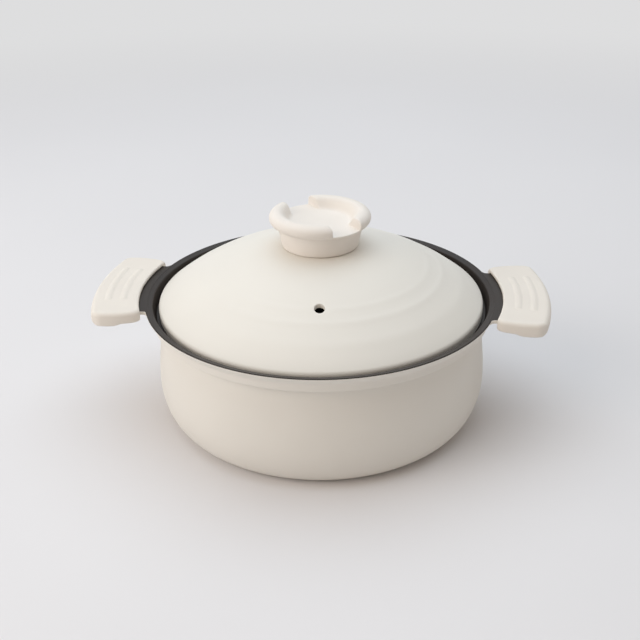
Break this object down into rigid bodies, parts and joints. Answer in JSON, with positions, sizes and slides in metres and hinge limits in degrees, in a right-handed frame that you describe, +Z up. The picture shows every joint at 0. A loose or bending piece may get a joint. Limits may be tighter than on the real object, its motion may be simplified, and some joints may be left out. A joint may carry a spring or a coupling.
{
  "type": "tabletop pot",
  "caption": "Round tabletop hot pot with a bellied body, flared rim, side lugs with slip-on grips, and a domed lift-off lid with a steam hole and a dished, notched knob.",
  "frame": {"origin": "on the table under the pot's axis", "axes": "+X along the lugs towards the right grip, +Y to the back, +Z up along the pot's axis"},
  "size_m": [0.337, 0.26, 0.159],
  "materials": {
    "ivory_paint": "aluminium with a matt ivory baked coat outside and a charcoal non-stick coat inside",
    "ivory_silicone": "soft matt ivory silicone",
    "ivory_resin": "matt ivory heat-resistant resin",
    "steel": "brushed stainless steel",
    "brass": "turned brass"
  },
  "bodies": {
    "pot": {"pot_body": "ivory_paint", "induction_plate": "steel"},
    "lid": {"lid": "ivory_paint", "knob": "ivory_resin", "knob_insert": "brass", "knob_screw": "steel", "knob_washer": "steel", "knob_spring_washer": "steel"},
    "left_grip": {"left_grip": "ivory_silicone"},
    "right_grip": {"right_grip": "ivory_silicone"}
  },
  "joints": [
    {"name": "lid_lift", "type": "slide", "parent": "pot", "child": "lid", "axis": [0, 0, 1], "range_m": [0, 0.15]},
    {"name": "left_grip_pull", "type": "slide", "parent": "pot", "child": "left_grip", "axis": [-1, 0, 0], "range_m": [0, 0.05]},
    {"name": "right_grip_pull", "type": "slide", "parent": "pot", "child": "right_grip", "axis": [1, 0, 0], "range_m": [0, 0.05]}
  ]
}
